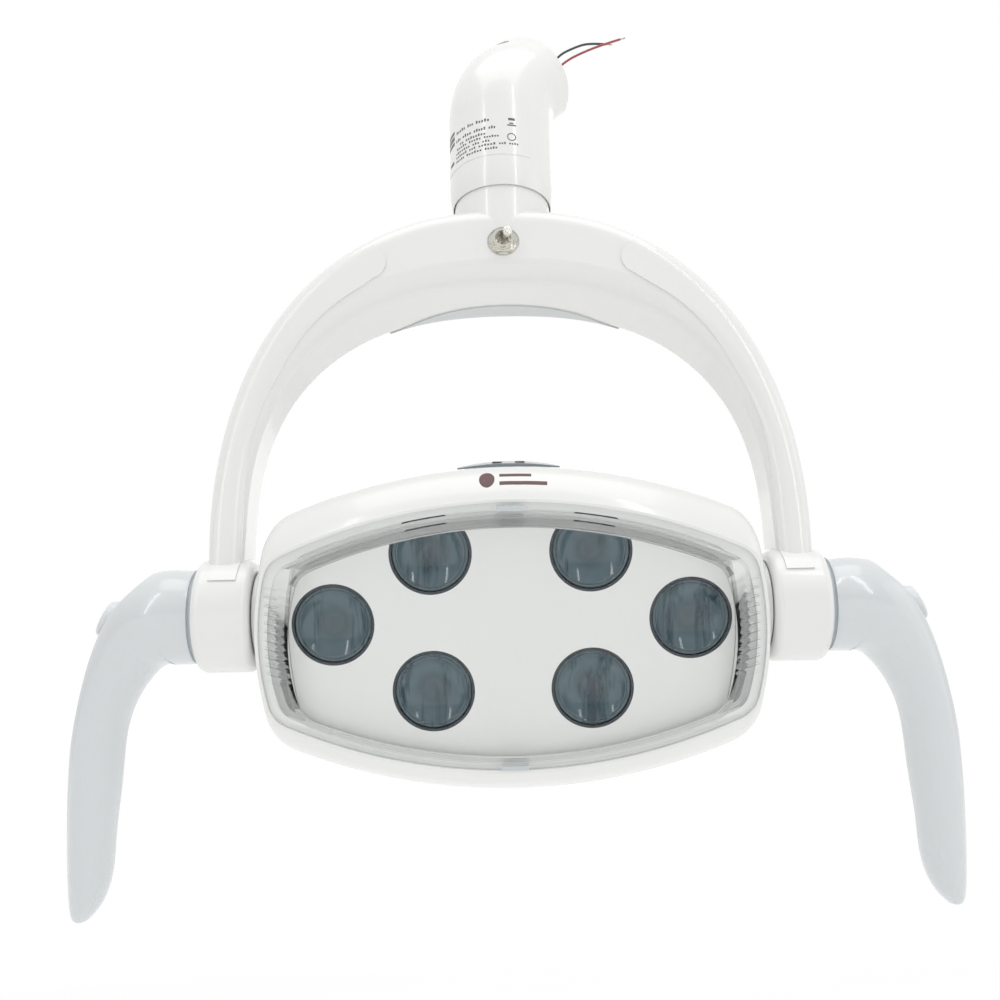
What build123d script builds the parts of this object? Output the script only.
from build123d import *
from math import atan2, cos, degrees, pi, radians, sin, tan
import os

os.makedirs("parts", exist_ok=True)

# Dental operating light, in millimetres. The origin is the centre of the arm socket's mouth, on top of
# the elbow that hangs the lamp from its arm. X runs along the tilt axis, +Z is up and the lamp faces -Y.

# ---- driving dimensions -------------------------------------------------------------------------------

# Elbow: an upright tube that bends towards the arm
ELBOW_R = 31.2
ELBOW_WALL = 3.5
ELBOW_HEADING = 40.0         # degrees from +Y towards +X
ELBOW_TURN = 45.0            # degrees between the swivel axis and the socket axis
ELBOW_BEND_R = 40.0
ELBOW_UPRIGHT = 61.5         # rim to the start of the bend
ELBOW_MOUTH_RUN = 21.0       # end of the bend to the mouth
ELBOW_SKIRT = 20.0           # depth of the thinned skirt that the neck turns in
RIM_R = 29.6                 # the rim is crowned: drawn in to this radius
RIM_CROWN = 14.0             # over this height

# Arm socket
SOCKET_R = 11.0
SOCKET_DEPTH = 34.0
PLUG_DEPTH = 20.0
LEAD_OFFSET = 19.0           # leads leave beside the bore
LEAD_DIA = 1.5

# Neck and swivel
NECK_R = 28.4
NECK_ABOVE_HUB = 245.0       # height of the elbow's rim above the tilt axis
SWIVEL_R = 11.0
SWIVEL_BORE_R = 7.5

# Yoke: a superellipse arch between two hub barrels
ARCH_HALF_SPAN = 151.6
ARCH_SPRING = 45.0           # height above the tilt axis where the arch springs from its straight legs
ARCH_RISE = 164.4
ARCH_POWER = 2.28
YOKE_WALL = 2.8
BARREL_R = 30.0
BARREL_IN = 135.5
BARREL_OUT = 166.0

# Head, in its own tilted frame: x along the tilt axis, v up its face, n out of its face
HEAD_TILT = 23.5             # degrees that the face looks down
HEAD_CENTRE_V = -9.0
RIM_N = 28.0
FACE_N = 45.0
PARTING_N = 8.0
BACK_N = -43.0
PANEL_N = 14.0
HEAD_WALL = 2.6
LENS_R = 21.8
LENS_CENTRE_V = -3.2
LENS_PLACES = [(-94, 0), (-42, 36.7), (42, 36.7), (94, 0), (42, -36.7), (-42, -36.7)]

# Tilt spindles and handles
SPINDLE_R = 12.0
SPINDLE_BORE_R = 8.0
SPINDLE_IN = 120.5
SPINDLE_OUT = 188.0
COLLAR_R = 25.0
HANDLE_IN = 168.4
BUTTON_R = 9.0
BUTTON_TRAVEL = 4.0

RUNNING = 0.05               # radial clearance of a turning fit
EASY = 0.3                   # radial clearance of a fit that slides by hand


# ---- shared frames ------------------------------------------------------------------------------------

turn = radians(ELBOW_TURN)
heading = radians(ELBOW_HEADING)
REACH = ELBOW_BEND_R * (1 - cos(turn)) + ELBOW_MOUTH_RUN * sin(turn)
CLIMB = ELBOW_UPRIGHT + ELBOW_BEND_R * sin(turn) + ELBOW_MOUTH_RUN * cos(turn)
NECK_X = -REACH * sin(heading)
NECK_Y = -REACH * cos(heading)
RIM_Z = -CLIMB
HUB = Vector(NECK_X, NECK_Y, RIM_Z - NECK_ABOVE_HUB)
AHEAD = Vector(sin(heading), cos(heading), 0)
ASIDE = Vector(cos(heading), -sin(heading), 0)
OUT = AHEAD * sin(turn) + Vector(0, 0, cos(turn))

MOUTH = Plane(origin=(0, 0, 0), x_dir=ASIDE, z_dir=OUT)
MIDDLE = Plane(origin=HUB, x_dir=(0, 1, 0), z_dir=(1, 0, 0))
FRONT_BACK = Plane(origin=HUB, x_dir=(1, 0, 0), z_dir=(0, -1, 0))
tilt = radians(HEAD_TILT)
HEAD = Plane(origin=HUB, x_dir=(1, 0, 0), z_dir=(0, -cos(tilt), -sin(tilt)))


def level(height):
    """Plane facing up at a height above the tilt axis, centred on the swivel axis."""
    return Plane(origin=(HUB.X, HUB.Y, HUB.Z + height))


def across(x):
    """Plane facing +X at a distance x from the lamp's middle, centred on the tilt axis."""
    return Plane(origin=(HUB.X + x, HUB.Y, HUB.Z), x_dir=(0, 1, 0), z_dir=(1, 0, 0))


def tube(plane, outer, inner, length):
    """A round tube that rises from a plane; inner 0 leaves it solid."""
    with BuildPart() as body:
        with BuildSketch(plane):
            Circle(outer)
            if inner:
                Circle(inner, mode=Mode.SUBTRACT)
        extrude(amount=length)
    return body.part


def side_tube(side, outer, inner, start, end):
    """A tube on the tilt axis, from start to end millimetres out from the middle."""
    low, high = sorted((side * start, side * end))
    return tube(across(low), outer, inner, high - low)


def save(part, name):
    """Label a finished piece and write it."""
    part.label = name
    export_step(part, f"parts/{name}.step")


SIDES = {"left": -1, "right": 1}


# ---- elbow --------------------------------------------------------------------------------------------

NECK_AXIS = Axis(origin=(NECK_X, NECK_Y, RIM_Z), direction=(0, 0, 1))
ELBOW_PLANE = Plane(origin=(NECK_X, NECK_Y, RIM_Z), x_dir=AHEAD, z_dir=ASIDE)


def elbow_bar(radius):
    """A round bar along the elbow's centre line, from its rim to its mouth."""
    with BuildPart() as bar:
        with BuildLine(ELBOW_PLANE):
            upright = Line((0, 0), (0, ELBOW_UPRIGHT))
            bend = TangentArc(
                upright @ 1, (ELBOW_BEND_R * (1 - cos(turn)), ELBOW_UPRIGHT + ELBOW_BEND_R * sin(turn)),
                tangent=upright % 1,
            )
            Line(bend @ 1, (REACH, CLIMB))
        with BuildSketch(Plane(origin=(NECK_X, NECK_Y, RIM_Z))):
            Circle(radius)
        sweep()
    return bar.part


SLOT_BACK = 15.0             # arm screw's distance behind the mouth
SLOT_ANGLE = -75.0           # degrees round the mouth from its right-hand side to its top
slot_way = MOUTH.x_dir * cos(radians(SLOT_ANGLE)) + MOUTH.y_dir * sin(radians(SLOT_ANGLE))
ARM_SCREW = Plane(origin=OUT * -SLOT_BACK, z_dir=slot_way)
TENSION_Z = RIM_Z + 37.0
TENSION = Plane(origin=(NECK_X, NECK_Y, TENSION_Z), x_dir=(1, 0, 0), z_dir=(0, 1, 0))

elbow_bore = elbow_bar(ELBOW_R - ELBOW_WALL)
with BuildPart() as elbow_casing:
    add(elbow_bar(ELBOW_R))
    fillet(edges().filter_by(GeomType.CIRCLE).sort_by(Axis(origin=(0, 0, 0), direction=OUT))[-1], 1.5)
    with BuildSketch(ELBOW_PLANE):
        with BuildLine():
            crown = TangentArc((ELBOW_R, RIM_CROWN), (RIM_R, 0), tangent=(0, -1))
            Polyline(crown @ 1, (ELBOW_R + 1, 0), (ELBOW_R + 1, RIM_CROWN), crown @ 0)
        make_face()
    revolve(axis=NECK_AXIS, mode=Mode.SUBTRACT)
    add(elbow_bore, mode=Mode.SUBTRACT)
    add(tube(Plane(origin=(NECK_X, NECK_Y, RIM_Z)), NECK_R + 0.6, 0, ELBOW_SKIRT), mode=Mode.SUBTRACT)
    add(tube(ARM_SCREW, 4.4, 0, ELBOW_R + 5), mode=Mode.SUBTRACT)
    add(tube(TENSION, 3.6, 0, ELBOW_R + 5), mode=Mode.SUBTRACT)
save(elbow_casing.part, "elbow_casing")

LEAD_SLOT = (5.0, 8.0)
with BuildPart() as socket_insert:
    with BuildSketch(MOUTH):
        Circle(ELBOW_R - ELBOW_WALL)
    extrude(amount=-PLUG_DEPTH)
    with BuildSketch(MOUTH):
        Circle(SOCKET_R + 3.2)
    extrude(amount=-SOCKET_DEPTH)
    with BuildSketch(MOUTH):
        Circle(SOCKET_R)
    extrude(amount=-SOCKET_DEPTH, mode=Mode.SUBTRACT)
    with BuildSketch(MOUTH):
        with Locations((LEAD_OFFSET, 0)):
            SlotCenterToCenter(LEAD_SLOT[1] - LEAD_SLOT[0], LEAD_SLOT[0], rotation=90)
    extrude(amount=-PLUG_DEPTH, mode=Mode.SUBTRACT)
    add(tube(ARM_SCREW.offset(SOCKET_R - 1), 3.0, 0, ELBOW_R), mode=Mode.SUBTRACT)
save(socket_insert.part, "socket_insert")


def grub_screw(plane, radius, length, key):
    """A socket set screw that starts on a plane, with its hexagon socket at the far end."""
    with BuildPart() as screw:
        with BuildSketch(plane):
            Circle(radius)
        extrude(amount=length)
        chamfer(edges().filter_by(GeomType.CIRCLE), radius * 0.15)
        with BuildSketch(plane.offset(length)):
            RegularPolygon(key / 2, 6, major_radius=False)
        extrude(amount=-length * 0.45, mode=Mode.SUBTRACT)
    return screw.part


save(grub_screw(ARM_SCREW.offset(SOCKET_R + 1.2), 3.0, 12.0, 3.0), "arm_screw")

CLAMP_BACK = 6.0
with BuildPart() as lead_clamp:
    with BuildSketch(MOUTH.offset(-PLUG_DEPTH + 2)):
        with Locations((LEAD_OFFSET, 0)):
            SlotCenterToCenter(LEAD_SLOT[1] - LEAD_SLOT[0], LEAD_SLOT[0], rotation=90)
    extrude(amount=PLUG_DEPTH - 2 - CLAMP_BACK)
save(lead_clamp.part, "lead_clamp")

# Leads: two limp wires that leave the clamp, pass the mouth and end in bared, tinned tips.
# The routes are in the mouth's frame: x aside, y down over the mouth, z out along the socket.
LEAD_ROUTES = {
    "lead_red": [
        (19, 1.6, -6), (19, 1.6, 2), (28, -1.8, 11), (37.5, -1.2, 20), (47.5, 0.8, 31), (55, 3.2, 40),
    ],
    "lead_black": [
        (19, -1.6, -6), (19, -1.6, 2), (25, -7, 11.5), (32.5, -6.3, 23), (38, -4.2, 33), (45, 1.7, 39.9),
    ],
}
TIP_LENGTH = 4.0
TIP_R = 0.45


def route_radii(points):
    """The arc at each inner point of a route: as large as its two runs allow."""
    radii = []
    for before, here, after in zip(points, points[1:], points[2:]):
        into, away = here - before, after - here
        half_turn = radians(into.get_angle(away)) / 2
        radii.append(0.45 * min(into.length, away.length) / tan(half_turn))
    return radii


tip_planes = []
for name, route in LEAD_ROUTES.items():
    points = [MOUTH.from_local_coords(Vector(*p)) for p in route]
    radii = route_radii(points)
    print(name, "bend radii", [round(r, 1) for r in radii])
    with BuildPart() as lead:
        with BuildLine() as way:
            FilletPolyline(*points, radius=radii)
        with BuildSketch(Plane(origin=points[0], z_dir=OUT)):
            Circle(LEAD_DIA / 2)
        sweep(path=way.wires()[0])
    print(name, "length", round(way.wires()[0].length, 1), "volume ratio",
          round(lead.part.volume / (way.wires()[0].length * pi * LEAD_DIA ** 2 / 4), 4))
    tip_planes.append(Plane(origin=points[-1], z_dir=points[-1] - points[-2]))
    save(lead.part, name)

with BuildPart() as lead_tips:
    for plane in tip_planes:
        with BuildSketch(plane):
            Circle(TIP_R)
        extrude(amount=TIP_LENGTH)
save(lead_tips.part, "lead_tips")

# Type plate: a clear film wrapped a third of the way round the upright tube, facing front left
FILM = 0.25
FILM_Z = (RIM_Z + 19.0, RIM_Z + 55.0)
with BuildPart() as type_film:
    with BuildSketch(Plane(origin=(NECK_X, NECK_Y, FILM_Z[0]))):
        Circle(ELBOW_R + FILM)
        Circle(ELBOW_R, mode=Mode.SUBTRACT)
        with BuildLine():
            Polyline((0, 0), (60, -95), (-95, -95), (-95, -18), close=True)
        make_face(mode=Mode.INTERSECT)
    extrude(amount=FILM_Z[1] - FILM_Z[0])
save(type_film.part, "type_film")

# Swivel bearing inside the elbow
HOUSING_LOW = RIM_Z + 24.0
HOUSING_HIGH = RIM_Z + 50.0
BUSH_R = 14.0
housing_plane = Plane(origin=(NECK_X, NECK_Y, HOUSING_LOW))
with BuildPart() as swivel_housing:
    add(tube(housing_plane, ELBOW_R - ELBOW_WALL, BUSH_R, HOUSING_HIGH - HOUSING_LOW))
    with BuildSketch(Plane(origin=(NECK_X, NECK_Y, HOUSING_HIGH))):
        with PolarLocations(21, 3):
            Circle(3.4)
    extrude(amount=HOUSING_LOW - HOUSING_HIGH, mode=Mode.SUBTRACT)
    add(tube(TENSION, 3.0, 0, ELBOW_R), mode=Mode.SUBTRACT)
save(swivel_housing.part, "swivel_housing")

with BuildPart() as swivel_bush:
    add(tube(housing_plane.offset(-1.5), 18, SWIVEL_R + RUNNING, 1.5))
    add(tube(housing_plane, BUSH_R, SWIVEL_R + RUNNING, HOUSING_HIGH - HOUSING_LOW))
save(swivel_bush.part, "swivel_bush")

save(grub_screw(TENSION.offset(BUSH_R + 0.2), 3.0, 12.5, 3.0), "tension_screw")

# ---- yoke ---------------------------------------------------------------------------------------------

FRAME_HALF = (5.0, 8.0)      # half thickness and half depth of the frame bar inside the shells
ARCH_STEPS = 9               # stations from each spring line to the crown
LEG_FOOT = 8.0


def arch_plane(angle):
    """Station on the arch, angle 0 at the right spring line and 180 at the left one; x points outwards."""
    c, s = cos(radians(angle)), sin(radians(angle))
    side = 1 if c >= 0 else -1
    x = side * ARCH_HALF_SPAN * abs(c) ** (2 / ARCH_POWER)
    z = ARCH_RISE * abs(s) ** (2 / ARCH_POWER)
    away = Vector(
        side * abs(x) ** (ARCH_POWER - 1) / ARCH_HALF_SPAN ** ARCH_POWER, 0,
        z ** (ARCH_POWER - 1) / ARCH_RISE ** ARCH_POWER,
    ).normalized()
    along = Vector(-away.Z, 0, away.X)
    return Plane(origin=HUB + Vector(x, 0, ARCH_SPRING + z), x_dir=away, z_dir=along), z / ARCH_RISE


def arch_stations():
    """Planes and heights, 0 at the legs to 1 at the crown, from the right leg's foot to the left one's."""
    foot = Vector(0, 0, LEG_FOOT - ARCH_SPRING)
    inner = [arch_plane(180 * k / (2 * ARCH_STEPS)) for k in range(2 * ARCH_STEPS + 1)]
    first, last = inner[0][0], inner[-1][0]
    start = Plane(origin=first.origin + foot, x_dir=first.x_dir, z_dir=first.z_dir)
    end = Plane(origin=last.origin + foot, x_dir=last.x_dir, z_dir=last.z_dir)
    return [(start, 0)] + inner + [(end, 0)]


def arch_bar(grow):
    """The arch's body, grown or shrunk all round: thin in the legs, deep and full at the crown."""
    with BuildPart() as bar:
        for plane, height in arch_stations():
            with BuildSketch(plane):
                RectangleRounded(
                    2 * (9.8 + 14.2 * height ** 3 + grow),
                    2 * (20 + 8 * height ** 2 + grow),
                    8 + 4 * height + grow,
                )
        loft()
    return bar.part


arch_skin = arch_bar(0)
arch_hollow = arch_bar(-YOKE_WALL)

NECK_FOOT = 205.0
NECK_TOP = NECK_ABOVE_HUB + 16.0
SWITCH_Z = 208.0
SWITCH_FLOOR_Y = -26.6       # floor of the switch's recess, from the swivel axis
SWITCH = Plane(origin=(HUB.X, HUB.Y, HUB.Z + SWITCH_Z), x_dir=(1, 0, 0), z_dir=(0, -1, 0))
SCREW_ANGLES = (8, 52, 128, 172)


def rear_screw_plane(angle):
    """Where a shell screw sits: on the rear of the arch, facing backwards."""
    plane, height = arch_plane(angle)
    return Plane(origin=plane.origin, x_dir=(-1, 0, 0), z_dir=(0, 1, 0)), 20 + 8 * height ** 2


barrels = {}
for side in SIDES.values():
    with BuildPart() as barrel:
        add(side_tube(side, BARREL_R, 0, BARREL_IN, BARREL_OUT))
        fillet(edges().filter_by(GeomType.CIRCLE), 4.5)
    barrels[side] = barrel.part

for name, keep in (("yoke_front_shell", Keep.TOP), ("yoke_rear_shell", Keep.BOTTOM)):
    with BuildPart() as shell:
        add(arch_skin)
        add(tube(level(NECK_FOOT), NECK_R, 0, NECK_TOP - NECK_FOOT))
        for side in SIDES.values():
            add(barrels[side])
        add(arch_hollow, mode=Mode.SUBTRACT)
        add(tube(level(NECK_FOOT), NECK_R - YOKE_WALL, 0, NECK_TOP - NECK_FOOT), mode=Mode.SUBTRACT)
        for side in SIDES.values():
            add(side_tube(side, BARREL_R - 3, 0, BARREL_IN + 3, BARREL_OUT - 3), mode=Mode.SUBTRACT)
            add(side_tube(side, SPINDLE_R + 0.6, 0, BARREL_IN - 1, BARREL_OUT + 1), mode=Mode.SUBTRACT)
        split(bisect_by=FRONT_BACK, keep=keep)
        if keep == Keep.TOP:
            add(tube(SWITCH.offset(-SWITCH_FLOOR_Y), 9.2, 0, 5), mode=Mode.SUBTRACT)
            add(tube(SWITCH, 6.1, 0, 40), mode=Mode.SUBTRACT)
        else:
            for angle in SCREW_ANGLES:
                plane, rear = rear_screw_plane(angle)
                add(tube(plane.offset(rear - 1.4), 3.2, 0, 5), mode=Mode.SUBTRACT)
                add(tube(plane, 1.7, 0, rear), mode=Mode.SUBTRACT)
    save(shell.part, name)

with BuildPart() as shell_screws:
    for angle in SCREW_ANGLES:
        plane, rear = rear_screw_plane(angle)
        with BuildSketch(plane.offset(rear - 1.4)):
            Circle(3.0)
        extrude(amount=1.2)
        with BuildSketch(plane.offset(FRAME_HALF[1])):
            Circle(1.5)
        extrude(amount=rear - 1.4 - FRAME_HALF[1])
        with BuildSketch(plane.offset(rear - 0.2)):
            Rectangle(3.6, 0.9)
            Rectangle(0.9, 3.6)
        extrude(amount=-0.8, mode=Mode.SUBTRACT)
save(shell_screws.part, "shell_screws")

SHAFT_FOOT = ARCH_SPRING + ARCH_RISE + FRAME_HALF[0] + 5
EYE_R = 22.0
HUB_BUSH_R = 14.6
HUB_BUSH = (142.0, 160.0)
with BuildPart() as yoke_frame:
    for plane, height in arch_stations():
        with BuildSketch(plane):
            Rectangle(2 * FRAME_HALF[0], 2 * FRAME_HALF[1])
    loft()
    for side in SIDES.values():
        add(side_tube(side, EYE_R, 0, HUB_BUSH[0] + 2, HUB_BUSH[1] - 2))
    for side in SIDES.values():
        add(side_tube(side, HUB_BUSH_R, 0, HUB_BUSH[0] - 5, HUB_BUSH[1] + 5), mode=Mode.SUBTRACT)
    add(tube(level(ARCH_SPRING + ARCH_RISE - 12), 4.0, 0, 20), mode=Mode.SUBTRACT)
    add(tube(level(SHAFT_FOOT - 6), 7.8, 4.0, 3))
    add(tube(level(SHAFT_FOOT - 3), 20, 4.0, 3))
save(yoke_frame.part, "yoke_frame")

COLLAR_TOP = NECK_ABOVE_HUB + 21.0
with BuildPart() as swivel_shaft:
    add(tube(level(SHAFT_FOOT), 20, 0, 4))
    add(tube(level(SHAFT_FOOT), SWIVEL_R, 0, NECK_ABOVE_HUB + 56 - SHAFT_FOOT))
    add(tube(level(COLLAR_TOP - 4), 16, 0, 4))
    with BuildSketch(level(NECK_ABOVE_HUB + 50.6)):
        Circle(SWIVEL_R + 1)
        Circle(SWIVEL_R - 0.8, mode=Mode.SUBTRACT)
    extrude(amount=1.6, mode=Mode.SUBTRACT)
    add(tube(level(SHAFT_FOOT - 5), SWIVEL_BORE_R, 0, 100), mode=Mode.SUBTRACT)
save(swivel_shaft.part, "swivel_shaft")

save(tube(level(COLLAR_TOP), 18, SWIVEL_R, 1.4), "thrust_washer")

with BuildPart() as shaft_circlip:
    add(tube(level(NECK_ABOVE_HUB + 50.7), SWIVEL_R + 3, SWIVEL_R - 0.7, 1.4))
    with BuildSketch(level(NECK_ABOVE_HUB + 50)):
        with Locations((0, 12)):
            Rectangle(7, 12)
    extrude(amount=3, mode=Mode.SUBTRACT)
save(shaft_circlip.part, "shaft_circlip")

save(tube(level(SHAFT_FOOT + 1), 3.0, 0, NECK_ABOVE_HUB + 54 - SHAFT_FOOT), "neck_cable")

with BuildPart() as hub_bushes:
    for side in SIDES.values():
        add(side_tube(side, HUB_BUSH_R, SPINDLE_R + RUNNING, *HUB_BUSH))
        add(side_tube(side, HUB_BUSH_R + 4, SPINDLE_R + RUNNING, HUB_BUSH[0] - 0.5, HUB_BUSH[0] + 2))
save(hub_bushes.part, "hub_bushes")

# Raised trim on the outer half of the arch's face, from beside the crown down to each barrel
TRIM_PROUD = 0.9
TRIM_FOOT = 13.0
TRIM_X = (142.8, 157.4)
with BuildPart() as trim_band:
    with BuildSketch(FRONT_BACK):
        with BuildLine():
            inner = Spline(
                (TRIM_X[0], ARCH_SPRING), (137, 106), (126.5, 131), (109.5, 158), (93, 173.8), (73.5, 187.2),
                tangents=((0, 1), (-0.8, 0.6)),
            )
            end = ThreePointArc(inner @ 1, (66.8, 197.8), (75.4, 207.6))
            outer = Spline(
                end @ 1, (102, 189.6), (125.5, 161.8), (146, 115), (TRIM_X[1], ARCH_SPRING),
                tangents=((0.86, -0.5), (0.1, -1)),
            )
            Line(outer @ 1, (TRIM_X[1], TRIM_FOOT))
            Line((TRIM_X[1], TRIM_FOOT), (TRIM_X[0], TRIM_FOOT))
            Line((TRIM_X[0], TRIM_FOOT), inner @ 0)
        make_face()
    extrude(amount=40)

with BuildPart() as trim_right:
    add(arch_bar(TRIM_PROUD))
    add(side_tube(1, BARREL_R + TRIM_PROUD, 0, BARREL_IN + 5, BARREL_OUT - 5))
    add(trim_band.part, mode=Mode.INTERSECT)
    add(arch_skin, mode=Mode.SUBTRACT)
    add(side_tube(1, BARREL_R, 0, BARREL_IN, BARREL_OUT), mode=Mode.SUBTRACT)
save(trim_right.part, "trim_right")

with BuildPart() as trim_left:
    mirror(trim_right.part, about=MIDDLE)
save(trim_left.part, "trim_left")

# Cover of the wiring channel, proud of the arch's underside towards the rear
COVER_PROUD = 0.9
with BuildPart() as channel_band:
    with BuildSketch(level(0)):
        with BuildLine():
            ThreePointArc((-69, 22), (0, 6), (69, 22))
            ThreePointArc((69, 22), (0, 27), (-69, 22))
        make_face()
    extrude(amount=ARCH_SPRING + ARCH_RISE - 12)

with BuildPart() as channel_cover:
    add(arch_bar(COVER_PROUD))
    add(channel_band.part, mode=Mode.INTERSECT)
    add(arch_skin, mode=Mode.SUBTRACT)
save(channel_cover.part, "channel_cover")

# Toggle switch in the middle of the crown
SWITCH_PIVOT_Y = -27.5
LEVER_LEAN = 12.0
save(tube(SWITCH.offset(-SWITCH_FLOOR_Y), 7.8, 6.05, 0.6), "switch_washer")

with BuildPart() as switch_body:
    with BuildSketch(SWITCH.offset(FRAME_HALF[1] + 0.6)):
        Rectangle(13, 13)
    extrude(amount=28 - YOKE_WALL - FRAME_HALF[1] - 0.8)
    with BuildSketch(SWITCH.offset(20)):
        Circle(6.0)
    extrude(amount=12.6)
    with BuildSketch(SWITCH.offset(26)):
        Circle(3.9)
    extrude(amount=7, taper=-6, mode=Mode.SUBTRACT)
save(switch_body.part, "switch_body")

with BuildPart() as switch_nut:
    with BuildSketch(SWITCH.offset(-SWITCH_FLOOR_Y + 0.6)):
        RegularPolygon(7.1, 6, major_radius=False)
        Circle(6.05, mode=Mode.SUBTRACT)
    extrude(amount=2.2)
save(switch_nut.part, "switch_nut")

LEVER = Plane(origin=(HUB.X, HUB.Y + SWITCH_PIVOT_Y, HUB.Z + SWITCH_Z), x_dir=(0, 0, 1),
              z_dir=(sin(radians(LEVER_LEAN)), -cos(radians(LEVER_LEAN)), 0))
with BuildPart() as switch_lever:
    with BuildSketch(LEVER):
        Circle(1.5)
    with BuildSketch(LEVER.offset(12)):
        Circle(2.7)
    loft()
    with BuildSketch(LEVER.offset(12)):
        Circle(2.7)
    extrude(amount=1.2)
    lever_axis = Axis(origin=LEVER.origin, direction=LEVER.z_dir)
    fillet(edges().filter_by(GeomType.CIRCLE).sort_by(lever_axis)[-1], 1.1)
save(switch_lever.part, "switch_lever")

# ---- head ---------------------------------------------------------------------------------------------


def barrel_outline(half_width, half_height, corner_x, corner_v, corner_r, inset=0.0):
    """The head's outline as a flat face: bowed top, bottom and sides, with rounded corners."""
    hw, hh, cx, cv = half_width - inset, half_height - inset, corner_x - inset, corner_v - inset
    v = HEAD_CENTRE_V
    with BuildSketch() as outline:
        with BuildLine():
            top = ThreePointArc((-cx, v + cv), (0, v + hh), (cx, v + cv))
            right = ThreePointArc(top @ 1, (hw, v), (cx, v - cv))
            bottom = ThreePointArc(right @ 1, (0, v - hh), (-cx, v - cv))
            ThreePointArc(bottom @ 1, (-hw, v), top @ 0)
        make_face()
        fillet(vertices(), max(corner_r - inset, 2))
    return outline.sketch


# each row: distance out of the face, half width, half height, corner x, corner v, corner radius
BACK_ROWS = [
    (PARTING_N, 133.0, 86.7, 127.5, 58.5, 24),
    (-5.0, 132.0, 85.4, 126.5, 57.5, 24),
    (-19.0, 127.5, 79.5, 121.5, 52.5, 24),
    (-31.0, 116.5, 69.0, 110.5, 44.0, 24),
    (-39.0, 99.0, 54.5, 93.0, 33.5, 22),
    (BACK_N, 76.0, 36.0, 71.0, 20.0, 16),
]
FRONT_ROWS = [
    (PARTING_N, 133.0, 86.7, 127.5, 58.5, 24),
    (19.0, 133.2, 80.8, 127.5, 52.5, 20),
    (RIM_N, 132.6, 71.6, 126.6, 42.5, 17),
]
FLANGE = (131.0, 70.2, 125.0, 41.5, 16)
WELL = (117.5, 68.4, 111.5, 45.6, 14)        # the lens panel's well, behind the lip
OPENING = (117.5, 66.3, 111.5, 43.0, 14)     # the lip in front of it
LIP_N = 16.0
FLANGE_THICK = 2.0


def head_loft(rows, inset=0.0):
    """A body through a list of outlines, drawn in by inset all round."""
    outlines = [barrel_outline(*row[1:], inset=inset) for row in rows]
    with BuildPart() as body:
        for row, outline in zip(rows, outlines):
            with BuildSketch(HEAD.offset(row[0])):
                add(outline)
        loft()
    return body.part


def head_slab(outline, low, high, inset=0.0):
    """A straight-sided block of one outline, from low to high along n."""
    face = barrel_outline(*outline, inset=inset)
    with BuildPart() as slab:
        with BuildSketch(HEAD.offset(low)):
            add(face)
        extrude(amount=high - low)
    return slab.part


PAD_V = 76.2
PAD = Plane(origin=HEAD.from_local_coords(Vector(0, PAD_V, -3.5)), x_dir=(1, 0, 0), z_dir=HEAD.y_dir)
BOSS_R = 24.0
BOSS_IN = 123.0
VENT_ROWS = 5

front_inner_rows = [FRONT_ROWS[0], FRONT_ROWS[1], (24.0, 133, 75.5, 127, 47, 18)]
inner_rows = [(row[0] + HEAD_WALL if row[0] == BACK_N else row[0],) + row[1:] for row in BACK_ROWS]
with BuildPart() as rear_shell:
    add(head_loft(BACK_ROWS))
    add(head_loft(inner_rows, HEAD_WALL), mode=Mode.SUBTRACT)
    for side in SIDES.values():
        add(side_tube(side, BOSS_R + 0.2, 0, BOSS_IN - 2, 140), mode=Mode.SUBTRACT)
    with BuildSketch(PAD.offset(-12)):
        Ellipse(27.6, 9.2)
    extrude(amount=20, mode=Mode.SUBTRACT)
    with BuildSketch(HEAD.offset(BACK_N - 1)):
        with Locations((0, HEAD_CENTRE_V)):
            with GridLocations(0, 9, 1, VENT_ROWS):
                SlotCenterToCenter(64, 3)
    extrude(amount=6, mode=Mode.SUBTRACT)
save(rear_shell.part, "rear_shell")

with BuildPart() as bezel:
    add(head_loft(FRONT_ROWS))
    add(head_loft(front_inner_rows, HEAD_WALL), mode=Mode.SUBTRACT)
    add(head_slab(WELL, PARTING_N, RIM_N - FLANGE_THICK, -HEAD_WALL))
    add(head_slab(WELL, PARTING_N - 1, LIP_N), mode=Mode.SUBTRACT)
    add(head_slab(OPENING, PARTING_N, RIM_N + 1), mode=Mode.SUBTRACT)
    add(head_slab(FLANGE, RIM_N - FLANGE_THICK, RIM_N + 1), mode=Mode.SUBTRACT)
    for side in SIDES.values():
        add(side_tube(side, BOSS_R + 0.2, 0, BOSS_IN - 2, 140), mode=Mode.SUBTRACT)
save(bezel.part, "bezel")

with BuildPart() as hub_bosses:
    for side in SIDES.values():
        add(side_tube(side, BOSS_R, SPINDLE_R, 126.5, BARREL_IN - 0.5))
    fillet(edges().filter_by(GeomType.CIRCLE).sort_by(Axis.X)[0], 1.2)
    fillet(edges().filter_by(GeomType.CIRCLE).sort_by(Axis.X)[-1], 1.2)
save(hub_bosses.part, "hub_bosses")

with BuildPart() as tilt_spindles:
    for side in SIDES.values():
        add(side_tube(side, SPINDLE_R, SPINDLE_BORE_R, SPINDLE_IN, SPINDLE_OUT))
save(tilt_spindles.part, "tilt_spindles")

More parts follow.
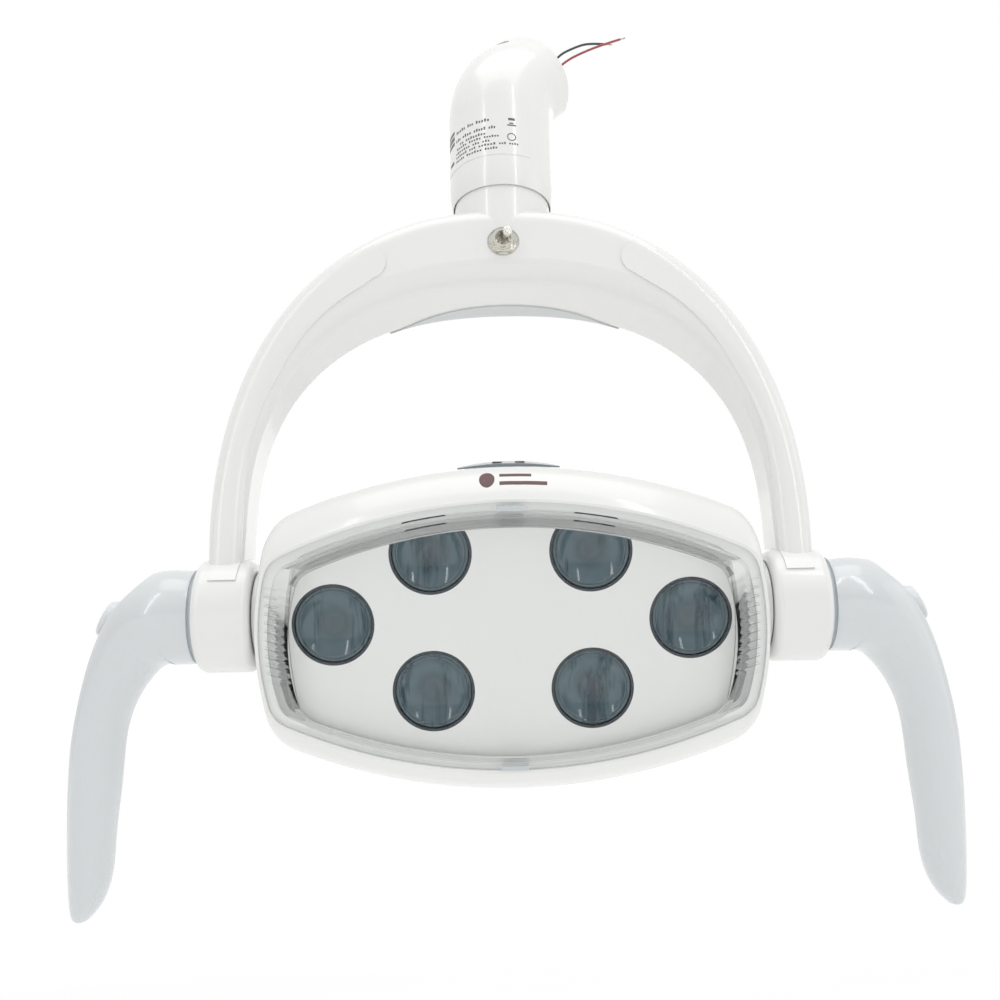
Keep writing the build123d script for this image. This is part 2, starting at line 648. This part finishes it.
# Chassis plate behind the lamps, with a lug for each spindle
CHASSIS_N = (-9.0, -5.0)
LUG = (120.5, 126.0)
with BuildPart() as chassis:
    with BuildSketch(HEAD.offset(CHASSIS_N[0])):
        with Locations((0, LENS_CENTRE_V)):
            RectangleRounded(2 * LUG[1], 104, 34)
    extrude(amount=CHASSIS_N[1] - CHASSIS_N[0])
    for side in SIDES.values():
        add(side_tube(side, 17.5, 0, *LUG))
    for side in SIDES.values():
        add(side_tube(side, SPINDLE_R, 0, LUG[0] - 1, LUG[1] + 1), mode=Mode.SUBTRACT)
save(chassis.part, "chassis")

with BuildPart() as heat_sink:
    with BuildSketch(HEAD.offset(CHASSIS_N[0] - 3)):
        with Locations((0, LENS_CENTRE_V)):
            RectangleRounded(190, 92, 8)
    extrude(amount=3)
    with BuildSketch(HEAD.offset(CHASSIS_N[0] - 3)):
        with Locations((0, LENS_CENTRE_V)):
            with GridLocations(9, 0, 19, 1):
                Rectangle(1.6, 84)
    extrude(amount=-10)
save(heat_sink.part, "heat_sink")

with BuildPart() as driver_board:
    with BuildSketch(HEAD.offset(-28.5)):
        with Locations((0, HEAD_CENTRE_V)):
            Rectangle(90, 46)
    extrude(amount=1.6)
    with BuildSketch(HEAD.offset(-28.5)):
        with Locations((-28, HEAD_CENTRE_V + 4)):
            Rectangle(20, 18)
        with Locations((4, HEAD_CENTRE_V - 6), (30, HEAD_CENTRE_V + 8)):
            Rectangle(12, 12)
    extrude(amount=-5)
save(driver_board.part, "driver_board")

# Lens panel with six lamps: tinted lens, seating ring, reflector cup and emitter each
PANEL_THICK = 2.0
LENS_THICK = 1.8
LENS_SINK = 1.4
with BuildPart() as lens_panel:
    add(head_slab(WELL, PANEL_N - PANEL_THICK, PANEL_N, 0.2))
    with BuildSketch(HEAD.offset(PANEL_N)):
        with Locations(*[(x, v + LENS_CENTRE_V) for x, v in LENS_PLACES]):
            Circle(LENS_R)
    extrude(amount=-PANEL_THICK - 1, mode=Mode.SUBTRACT)
save(lens_panel.part, "lens_panel")

for number, (x, v) in enumerate(LENS_PLACES, start=1):
    centre = (x, v + LENS_CENTRE_V)
    with BuildPart() as lens:
        with BuildSketch(HEAD.offset(PANEL_N - LENS_SINK - LENS_THICK)):
            with Locations(centre):
                Circle(LENS_R - 1.4)
        extrude(amount=LENS_THICK)
        fillet(edges().filter_by(GeomType.CIRCLE).group_by(Axis(origin=HUB, direction=HEAD.z_dir))[-1], 0.6)
    save(lens.part, f"lens_{number}")

CUP_ROWS = [(PANEL_N - LENS_SINK - LENS_THICK, LENS_R - 1.6), (4, 16.5), (-3.0, 6.5)]
CUP_WALL = 1.2
with BuildPart() as reflectors:
    for x, v in LENS_PLACES:
        for inset, mode in ((0, Mode.ADD), (CUP_WALL, Mode.SUBTRACT)):
            for depth, outer in CUP_ROWS:
                with BuildSketch(HEAD.offset(depth)):
                    with Locations((x, v + LENS_CENTRE_V)):
                        Circle(outer - inset)
            loft(mode=mode)
save(reflectors.part, "reflectors")

with BuildPart() as lens_rings:
    for x, v in LENS_PLACES:
        with BuildSketch(HEAD.offset(PANEL_N - LENS_SINK - LENS_THICK)):
            with Locations((x, v + LENS_CENTRE_V)):
                Circle(LENS_R)
                Circle(LENS_R - 1.4, mode=Mode.SUBTRACT)
        extrude(amount=LENS_SINK + LENS_THICK - 0.3)
save(lens_rings.part, "lens_rings")

with BuildPart() as led_boards:
    for x, v in LENS_PLACES:
        with BuildSketch(HEAD.offset(CHASSIS_N[1])):
            with Locations((x, v + LENS_CENTRE_V)):
                Circle(12)
        extrude(amount=1.6)
save(led_boards.part, "led_boards")

with BuildPart() as led_emitters:
    for x, v in LENS_PLACES:
        with BuildSketch(HEAD.offset(CHASSIS_N[1] + 1.6)):
            with Locations((x, v + LENS_CENTRE_V)):
                Rectangle(5, 5)
        extrude(amount=1.2)
save(led_emitters.part, "led_emitters")

# Clear front cover: a dish whose flange lies in the bezel's seat
DISH_ROWS = [
    (RIM_N - FLANGE_THICK, 129.0, 68.0, 123.0, 40.0, 15),
    (37.0, 122.5, 64.8, 116.3, 40.2, 16),
    (FACE_N, 115.2, 61.2, 108.5, 38.5, 16),
]
COVER_WALL = 2.2
cover_inner = [DISH_ROWS[0], DISH_ROWS[1], (FACE_N - COVER_WALL, 117, 62.2, 110.4, 39, 16)]
with BuildPart() as front_cover:
    add(head_loft(DISH_ROWS))
    add(head_slab(FLANGE, RIM_N - FLANGE_THICK, RIM_N, 0.3))
    add(head_loft(cover_inner, COVER_WALL), mode=Mode.SUBTRACT)
save(front_cover.part, "front_cover")

CLIP_WIDTH = 14.0
with BuildPart() as cover_clips:
    for v, way in ((HEAD_CENTRE_V + 66.2, 1), (HEAD_CENTRE_V - 66.2, -1)):
        with BuildSketch(HEAD.offset(RIM_N + 0.1)):
            with Locations((0, v)):
                RectangleRounded(CLIP_WIDTH, 4.6, 0.8)
        extrude(amount=5)
    add(head_loft(DISH_ROWS), mode=Mode.SUBTRACT)
save(cover_clips.part, "cover_clips")

# Control pad on top of the head, with its two buttons
PAD_HALF = (27.4, 9.0)
PAD_EDGE = 0.6
PAD_HIGH = 3.2
PAD_BOW = PAD_HIGH - PAD_EDGE
PAD_BOW_R = (PAD_HALF[0] ** 2 + PAD_BOW ** 2) / (2 * PAD_BOW)
with BuildPart() as control_pad:
    with BuildSketch(PAD.offset(-4)):
        Ellipse(*PAD_HALF)
    extrude(amount=4 + PAD_HIGH)
    with BuildSketch(Plane(origin=PAD.origin, x_dir=PAD.x_dir, z_dir=HEAD.z_dir)):
        with Locations((0, PAD_HIGH - PAD_BOW_R)):
            Circle(PAD_BOW_R)
    extrude(amount=PAD_HALF[1] + 1, both=True, mode=Mode.INTERSECT)
    with BuildSketch(PAD.offset(PAD_HIGH)):
        with Locations((-6, 0), (6, 0)):
            Circle(3.0)
    extrude(amount=-3, mode=Mode.SUBTRACT)
save(control_pad.part, "control_pad")

for name, x in (("dimmer_down", -6), ("dimmer_up", 6)):
    with BuildPart() as button:
        with BuildSketch(PAD.offset(PAD_HIGH - 2)):
            with Locations((x, 0)):
                Circle(2.7)
        extrude(amount=2.5)
        fillet(edges().group_by(Axis(origin=HUB, direction=PAD.z_dir))[-1], 0.5)
    save(button.part, name)

# ---- handles ------------------------------------------------------------------------------------------

# each row: x, v and n of the section's centre, half width, half depth, degrees that the section faces down
GRIP_ROWS = [
    (HANDLE_IN, 0, 0, COLLAR_R, COLLAR_R, 0),
    (176, -0.1, 0, COLLAR_R + 0.1, COLLAR_R + 0.2, 0),
    (185, -0.6, 0, 25.3, 25.2, 12),
    (193.5, -5.5, 0.4, 24.4, 24.4, 38),
    (202.4, -13.7, 1.2, 20.5, 21.6, 56),
    (210.8, -26.5, 2.8, 17.3, 19.4, 66),
    (220.2, -51.8, 6.5, 14.3, 16.6, 77),
    (224, -84, 11.5, 13.8, 15.2, 84),
    (226.2, -116, 16.4, 12.3, 14.0, 87),
    (227.6, -140, 19.8, 10.7, 12.4, 90),
    (229.8, -151, 21.2, 7.9, 9.8, 92),
    (232.2, -157.6, 21.9, 4.2, 5.6, 94),
]


# outer edge of the handle's bevelled shoulder, as x and v
SHOULDER_EDGE = [
    (188.2, 26.6), (199.6, 16.9), (209.0, 7.8), (219.1, -8.4),
    (225.6, -26.0), (230.9, -46.0), (239.4, -82.0),
]
SHOULDER_ROUND = 3.0


def grip_bar():
    """The right handle's body: a collar on the tilt axis that bends down into a tapering grip."""
    with BuildPart() as bar:
        for x, v, n, half_width, half_depth, down in GRIP_ROWS:
            c, s = cos(radians(down)), sin(radians(down))
            along = HEAD.x_dir * c - HEAD.y_dir * s
            out = HEAD.x_dir * s + HEAD.y_dir * c
            with BuildSketch(Plane(origin=HEAD.from_local_coords(Vector(x, v, n)), x_dir=out, z_dir=along)):
                Ellipse(half_width, half_depth)
        loft()
        with BuildSketch(HEAD.offset(-35)):
            with BuildLine():
                Spline(*SHOULDER_EDGE)
                Polyline(SHOULDER_EDGE[-1], (262, -82), (262, 40), (188.2, 40), SHOULDER_EDGE[0])
            make_face()
        extrude(amount=70, mode=Mode.SUBTRACT)
        fillet(faces().filter_by(GeomType.EXTRUSION)[0].outer_wire().edges(), SHOULDER_ROUND)
    return bar.part


BUTTON_IN = 197.0
BUTTON_OUT = 219.2
SHOULDER = Plane(
    origin=HEAD.from_local_coords(Vector(BUTTON_OUT, 0, 0)),
    x_dir=HEAD.z_dir, z_dir=HEAD.x_dir * cos(radians(27)) + HEAD.y_dir * sin(radians(27)),
)
with BuildPart() as handle_right:
    add(grip_bar())
    fillet(faces().sort_by(Axis(origin=HUB, direction=HEAD.y_dir))[0].edges(), 3.5)
    add(side_tube(1, SPINDLE_R + EASY, 0, HANDLE_IN - 1, SPINDLE_OUT + 1), mode=Mode.SUBTRACT)
    add(side_tube(1, BUTTON_R + EASY, 0, SPINDLE_OUT, BUTTON_OUT + 12), mode=Mode.SUBTRACT)
save(handle_right.part, "handle_right")

with BuildPart() as release_button_right:
    add(side_tube(1, BUTTON_R, 0, BUTTON_IN, BUTTON_OUT + 8))
    split(bisect_by=SHOULDER, keep=Keep.BOTTOM)
    fillet(faces().sort_by(Axis.X)[-1].edges(), 1.5)
    add(side_tube(1, 4.0, 0, BUTTON_IN - 5, BUTTON_IN))
save(release_button_right.part, "release_button_right")

SPRING_WIRE = 0.6            # radius
SPRING_R = 6.2
with BuildPart() as button_spring_right:
    with BuildLine() as coil:
        Helix(
            pitch=2.0, height=BUTTON_IN - SPINDLE_OUT - 3.4, radius=SPRING_R,
            center=across(SPINDLE_OUT + 1.6).origin, direction=(1, 0, 0),
        )
    with BuildSketch(Plane(origin=coil.line @ 0, z_dir=coil.line % 0)):
        Circle(SPRING_WIRE)
    sweep(path=coil.line, is_frenet=True)
save(button_spring_right.part, "button_spring_right")

with BuildPart() as collar_right:
    add(side_tube(1, COLLAR_R - 1.6, SPINDLE_R + EASY, BARREL_OUT + 0.4, HANDLE_IN))
save(collar_right.part, "collar_right")

for piece in (handle_right, release_button_right, button_spring_right, collar_right):
    name = piece.part.label.replace("right", "left")
    with BuildPart() as opposite:
        mirror(piece.part, about=MIDDLE)
    save(opposite.part, name)
